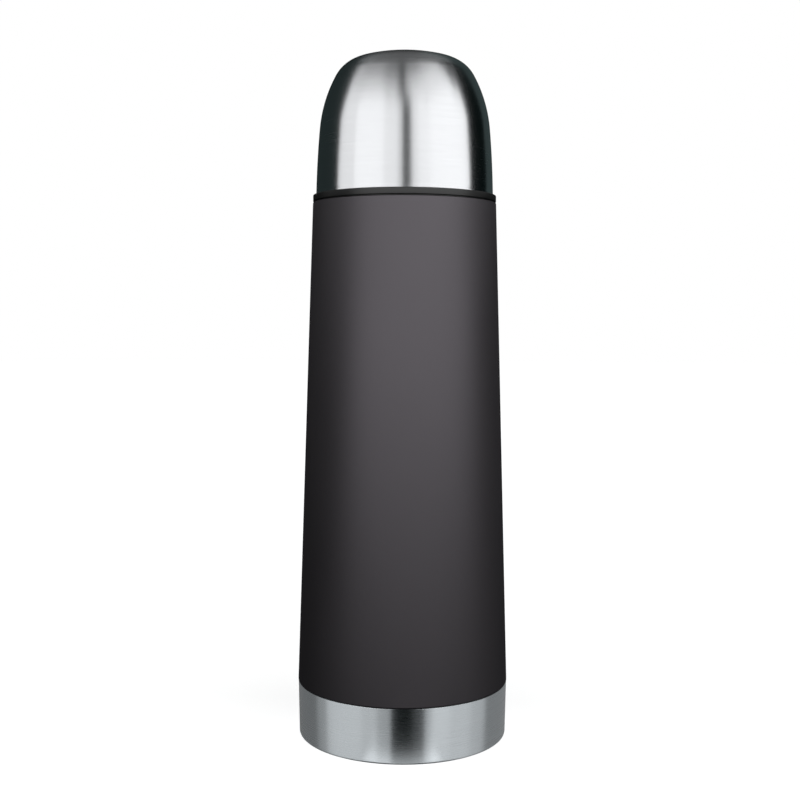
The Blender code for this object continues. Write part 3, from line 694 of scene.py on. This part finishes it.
def make_cover():
    """Stopper cover with four rounded pouring slots and a raised lip round the button."""
    corners = [(TUBE_R + 0.2, COVER_TOP, 0), (COVER_R, COVER_TOP, 0.4), (COVER_R, COVER_TOP - 1.8, 0.15),
               (TUBE_R + 1.4, COVER_TOP - 1.8, 0.3), (TUBE_R + 1.4, TUBE_FOOT, 0.2), (TUBE_R, TUBE_FOOT, 0.2),
               (TUBE_R, COVER_TOP, 0.2), (TUBE_R + 0.2, COVER_TOP, 0)]
    cover = lathe("stopper_top", rounded(corners)[:-1])
    slots = solid_bars("slots", [((16.4, 0), 5.6, 9.0, COVER_TOP - 4, COVER_TOP + 2,
                                  TURN * (index + 0.5) / POUR_SLOTS, 1.6) for index in range(POUR_SLOTS)])
    cut = cover.modifiers.new("slots", "BOOLEAN")
    cut.object = slots
    cut.operation = "DIFFERENCE"
    cut.solver = "EXACT"
    soften = cover.modifiers.new("soften", "BEVEL")
    soften.width = 0.0002
    soften.segments = 2
    soften.limit_method = "ANGLE"
    soften.angle_limit = math.radians(50)
    bpy.context.view_layer.update()
    evaluated = cover.evaluated_get(bpy.context.evaluated_depsgraph_get())
    mesh = bpy.data.meshes.new_from_object(evaluated)
    cover.modifiers.clear()
    cover.data = mesh
    bpy.data.objects.remove(slots)
    mesh.shade_smooth()
    mesh.set_sharp_from_angle(angle=math.radians(SHARP))
    finish_piece(cover, STOPPER_BLACK, "stopper", "stopper_plastic", "stopper_cover")


def make_button():
    """Push button with a dished top and three moulded grip rings."""
    dish = [(0, BUTTON_TOP - 0.55, 0), (2.6, BUTTON_TOP - 0.53, 0.2)]
    for ring in (3.2, 4.8, 6.4):
        dish += [(ring, BUTTON_TOP - 0.45, 0.12), (ring + 0.3, BUTTON_TOP - 0.15, 0.15),
                 (ring + 0.7, BUTTON_TOP - 0.15, 0.15), (ring + 1.0, BUTTON_TOP - 0.4, 0.12)]
    body = [(8.4, BUTTON_TOP, 0.4), (BUTTON_R, BUTTON_TOP, 0.9), (BUTTON_R, BUTTON_BODY_FOOT, 0.1),
            (BUTTON_FLANGE_R, BUTTON_BODY_FOOT, 0.2), (BUTTON_FLANGE_R, BUTTON_FOOT, 0.3),
            (BUTTON_R - 1.2, BUTTON_FOOT, 0.2), (BUTTON_R - 1.2, BUTTON_CEILING, 0.3),
            (SOCKET_R + 1.1, BUTTON_CEILING, 0.3), (SOCKET_R + 1.1, SOCKET_FOOT, 0.2),
            (SOCKET_R, SOCKET_FOOT, 0.1), (SOCKET_R, SOCKET_TOP, 0.1), (0, SOCKET_TOP, 0)]
    finish_piece(lathe("button", rounded(dish + body, 4), segments=BUTTON_SEGMENTS), BUTTON_GREY,
                 "button", "button_plastic", "push_button")


def make_spring():
    """Coil spring with closed ends, on a mesh of its own."""
    wire = 0.5
    coil_r = SPRING_OUT - wire
    turns, per_turn, sides = 6.5, 40, 12
    low, high = SPRING_FOOT + wire, SPRING_TOP - wire
    count = round(turns * per_turn)
    closed = 0.75                  # turns at each end that lie almost flat
    lift = 2 * wire * 0.8          # what the two closed ends climb together
    shape = bmesh.new()
    rings = []
    for index in range(count + 1):
        share = index / count
        along = share * turns
        climb = min(max((along - closed) / (turns - 2 * closed), 0.0), 1.0)
        ends = lift * (min(along, closed) - min(turns - along, closed) + closed) / closed / 2
        z = low + ends + (high - low - lift) * climb
        angle = TURN * along
        ring = []
        for side in range(sides):
            turn = TURN * side / sides
            r = coil_r + wire * math.cos(turn)
            ring.append(shape.verts.new((r * MM * math.cos(angle), r * MM * math.sin(angle),
                                         (z + wire * math.sin(turn)) * MM)))
        rings.append(ring)
    for lower, upper in zip(rings, rings[1:]):
        for side in range(sides):
            after = (side + 1) % sides
            shape.faces.new((lower[side], lower[after], upper[after], upper[side]))
    shape.faces.new(rings[0])
    shape.faces.new(rings[-1][::-1])
    bmesh.ops.recalc_face_normals(shape, faces=shape.faces)
    spring = as_object("spring", shape, 60)
    finish_piece(spring, SPRING_STEEL, "stopper", "spring_steel", "button_spring")
    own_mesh(spring)


def paint_hidden_nodes():
    """Better materials for the CAD nodes that stay as they are."""
    for node, material in {"outer_shell": SHELL_STEEL, "outer_bottom": SHELL_STEEL, "vacuum_seal": SOLDER,
                           "inner_bottom": BOTTLE_STEEL, "radiation_foil": FOIL, "getter": GETTER,
                           "collar_seal": SILICONE, "valve_stem": NATURAL, "valve_plate": NATURAL,
                           "valve_seal": SILICONE}.items():
        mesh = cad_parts[node].data
        mesh.materials.clear()
        mesh.materials.append(material)


# ---------------------------------------------------------------- stage


def area_light(name, ends, low, high, radiance, color=WHITE):
    """An upright soft box between two (x, y) ends in metres, facing the flask, of a given brightness."""
    (x0, y0), (x1, y1) = ends
    middle = Vector(((x0 + x1) / 2, (y0 + y1) / 2, (low + high) / 2))
    along = Vector((x1 - x0, y1 - y0, 0)).normalized()
    up = Vector((0, 0, 1))
    back = along.cross(up)
    if back.dot(Vector((middle.x, middle.y, 0))) < 0:
        along, back = -along, -back
    facing = Matrix((along, up, back)).transposed().to_4x4()
    return place_light(name, Matrix.Translation(middle) @ facing, math.hypot(x1 - x0, y1 - y0),
                       high - low, radiance, color)


def place_light(name, matrix, size_x, size_y, radiance, color=WHITE):
    """A rectangular light that the camera doesn't see, with the same brightness at any size."""
    light = bpy.data.lights.new(name, "AREA")
    light.shape = "RECTANGLE"
    light.size = size_x
    light.size_y = size_y
    light.energy = radiance * math.pi * size_x * size_y
    light.color = color
    lamp = bpy.data.objects.new(name, light)
    bpy.context.scene.collection.objects.link(lamp)
    lamp.matrix_world = matrix
    lamp.visible_camera = False
    return lamp


def at_azimuth(degrees, distance):
    """A point on the floor plan, with 0 towards the camera and positive to the right."""
    angle = math.radians(degrees)
    return (distance * math.sin(angle), -distance * math.cos(angle))


FLOOR_R = 3.9
FLOOR_DROP = 0.05                  # millimetres under the flask, so that the two don't share a face
GLOW_NEAR, GLOW_FAR = 0.74, 1.0    # painted light: the floor's emission by the flask and beyond GLOW_REACH, which brightens it where the lamps leave it dim
GLOW_REACH = 1.2
BACKDROP_R = 4.0


def make_floor():
    """White sweep. It shows the shadow to the camera, and throws no light back on the flask. Its emission is
    painted light, weaker by the flask and full far off, where the lamps don't reach.
    """
    bpy.ops.mesh.primitive_circle_add(vertices=96, radius=FLOOR_R, fill_type="NGON")
    floor = bpy.context.object
    floor.name = "floor"
    floor.location.z = -FLOOR_DROP * MM
    paper = Recipe("pale_floor", 0.7, specular=0.2)
    paper.link(paper.mix(paper.noise(paper.coords, 40.0), (0.85, 0.85, 0.85), (0.87, 0.87, 0.87)),
               paper.shader.inputs["Base Color"])
    away = paper.tree.nodes.new("ShaderNodeVectorMath")
    away.operation = "LENGTH"
    paper.link(paper.coords, away.inputs[0])
    # Painted light: the floor glows, dimmer by the flask than far off, in place of light that the lamps don't
    # give.
    paper.shader.inputs["Emission Color"].default_value = (*WHITE, 1.0)
    glow = paper.span(away.outputs["Value"], 0.0, GLOW_REACH, GLOW_NEAR, GLOW_FAR)
    paper.link(glow, paper.shader.inputs["Emission Strength"])
    floor.data.materials.append(paper.material)
    only_seen(floor)


def make_backdrop():
    """White dome round everything."""
    bpy.ops.mesh.primitive_uv_sphere_add(segments=48, ring_count=24, radius=BACKDROP_R)
    backdrop = bpy.context.object
    backdrop.name = "backdrop"
    glow = bpy.data.materials.new("white_backdrop")
    glow.use_nodes = True
    glow.node_tree.nodes.clear()
    emission = glow.node_tree.nodes.new("ShaderNodeEmission")
    output = glow.node_tree.nodes.new("ShaderNodeOutputMaterial")
    glow.node_tree.links.new(emission.outputs[0], output.inputs["Surface"])
    backdrop.data.materials.append(glow)
    only_seen(backdrop)


def only_seen(thing):
    """The camera sees it, but it isn't reflected and casts no light or shadow."""
    thing.visible_diffuse = False
    thing.visible_glossy = False
    thing.visible_transmission = False
    thing.visible_volume_scatter = False
    thing.visible_shadow = False


# Three sets of cards on a circle round the flask. A card stands between two azimuths, with 0 towards the
# camera and positive to the right, and has a brightness. Each kind of surface has a set of its own, which
# is stacked in tiers: (low, high, brightness of the left cards, of the right cards, turn to the right).
CARD_DISTANCE = 1.1
COAT_TIERS = ((0.0, 0.3, 1.05, 1.05, 0), (0.3, 1.0, 1.2, 1.2, 0), (1.0, 1.5, 0.9, 0.9, 0),
              (1.5, 2.1, 0.5, 0.5, 0))
CUP_TIERS = ((0.0, 0.3, 1.3, 1.3, 1.5), (0.3, 1.0, 1.2, 1.2, 0.5), (1.0, 1.5, 0.72, 0.95, -7),
             (1.5, 2.1, 0.22, 0.62, -8))
BASE_TIERS = ((-1.5, 0.7, 1.0, 1.0, 0), (0.7, 2.1, 2.0, 2.0, 0))
CUP_CARDS = ((-95.5, -68, 0.86), (-68, -28, 1.05), (-28, -9, 0.93), (-9, -3.5, 0.7), (-3.5, 6.5, 0.07),
             (6.5, 10, 0.6), (10, 17, 0.88), (17, 32, 1.0), (32, 91, 1.08))
COAT_CARDS = ((-62, 8, 1.25), (8, 82, 1.3))
BASE_CARDS = ((-170, -104, 0.18), (-104, -88, 0.36), (-88, -44, 0.68), (-44, -27, 0.60), (-27, -12, 0.42),
              (11, 24, 0.05), (24, 31, 0.48), (31, 52, 0.76), (52, 78, 0.66), (78, 100, 0.55),
              (100, 170, 0.25))
COAT_SIDES = ((-118, -66, 0.3), (86, 126, 0.3), (150, 210, 0.2))
COAT_SIDE_LOW = 0.35
COAT_SIDE_HIGH = 1.3
REAR_CARDS = (("left_rear", -165, -100, 0.022), ("right_rear", 131, 170, 0.05))
REAR_HIGH = 2.0
TEAL = (0.75, 1.0, 1.0)

OVERHEAD_PLACE = (0, 0.3, 2.1)
OVERHEAD_SIZE = 2.4
OVERHEAD_BRIGHTNESS = 0.10
FRONT_STRIP = (0.034, 0.009)       # width and depth of the lit floor in front of the base
FRONT_STRIP_PLACE = (0, -0.042, -0.001)
FRONT_STRIP_BRIGHTNESS = 0.55
WORLD_COLOR = (0.001, 0.003, 0.003, 1)


def card(name, left, right, low, high, brightness, color=WHITE):
    """An upright card between two azimuths on the circle round the flask."""
    return area_light(name, (at_azimuth(left, CARD_DISTANCE), at_azimuth(right, CARD_DISTANCE)),
                      low, high, brightness, color)


def tiered_cards(name, cards, tiers):
    """Every card of a set in each of its tiers."""
    return [card(f"{name}_{index}_{tier}", left + lean, right + lean, low, high,
                 share * (on_left if right < 0 else on_right))
            for index, (left, right, share) in enumerate(cards)
            for tier, (low, high, on_left, on_right, lean) in enumerate(tiers)]


def link_lamps(name, lamps, pieces, state):
    """Let the lamps light only these pieces (INCLUDE) or everything else (EXCLUDE)."""
    receivers = bpy.data.collections.new(name)
    for piece in pieces:
        receivers.objects.link(piece)
    for entry in receivers.collection_objects:
        entry.light_linking.link_state = state
    for lamp in lamps:
        lamp.light_linking.receiver_collection = receivers


def make_lights(base, matt):
    """A light tent with a slit for the lens, and plain cards for the matt pieces and for the base."""
    tent = tiered_cards("cup_card", CUP_CARDS, CUP_TIERS)
    tent.append(place_light("overhead", Matrix.Translation(OVERHEAD_PLACE), OVERHEAD_SIZE, OVERHEAD_SIZE,
                            OVERHEAD_BRIGHTNESS))
    tent += [card(name, left, right, 0.0, REAR_HIGH, brightness, TEAL)
             for name, left, right, brightness in REAR_CARDS]
    link_lamps("not_in_tent", tent, [base, *matt], "EXCLUDE")
    coat_cards = tiered_cards("coat_card", COAT_CARDS, COAT_TIERS)
    coat_cards += [card(f"coat_side_{index}", left, right, COAT_SIDE_LOW, COAT_SIDE_HIGH, brightness)
                   for index, (left, right, brightness) in enumerate(COAT_SIDES)]
    link_lamps("matt_pieces", coat_cards, matt, "INCLUDE")
    base_cards = tiered_cards("base_card", BASE_CARDS, BASE_TIERS)
    upward = Matrix.Translation(FRONT_STRIP_PLACE) @ Matrix.Rotation(math.pi, 4, "X")
    base_cards.append(place_light("front_strip", upward, *FRONT_STRIP, FRONT_STRIP_BRIGHTNESS))
    link_lamps("base_only", base_cards, [base], "INCLUDE")


def make_stage(base, matt):
    """Colour management, an almost black world, the floor, the backdrop and the lights."""
    scene = bpy.context.scene
    scene.view_settings.view_transform = "Standard"
    world = bpy.data.worlds.new("studio")
    world.use_nodes = True
    world.node_tree.nodes["Background"].inputs["Color"].default_value = WORLD_COLOR
    scene.world = world
    make_floor()
    make_backdrop()
    make_lights(base, matt)


CAMERA_PLACE = (0, -0.4395, 0.1487)
CAMERA_YAW, CAMERA_PITCH, CAMERA_ROLL = 0.17, -3.78, 0.25     # degrees
LENS = 55.55


def make_camera():
    """Camera in front of the flask, a little above its middle and pitched slightly down."""
    data = bpy.data.cameras.new("camera")
    data.sensor_width = 36.0
    data.lens = LENS
    camera = bpy.data.objects.new("camera", data)
    bpy.context.scene.collection.objects.link(camera)
    yaw = Matrix.Rotation(math.radians(CAMERA_YAW), 4, "Z")
    pitch = Matrix.Rotation(math.radians(90 + CAMERA_PITCH), 4, "X")
    roll = Matrix.Rotation(math.radians(CAMERA_ROLL), 4, "Z")
    camera.matrix_world = Matrix.Translation(CAMERA_PLACE) @ yaw @ pitch @ roll
    bpy.context.scene.camera = camera


make_camera()
make_stage(make_base(), [make_coat(), make_collar()])
make_bottle()
make_cup()
make_liner()
ring_piece("cup_ring", "cup_gasket", 0.3, "cup_carrier")
ring_piece("stopper_ring", "stopper_gasket", 0.3, "stopper_carrier")
make_stopper()
make_spider()
make_cover()
make_button()
make_spring()
paint_hidden_nodes()
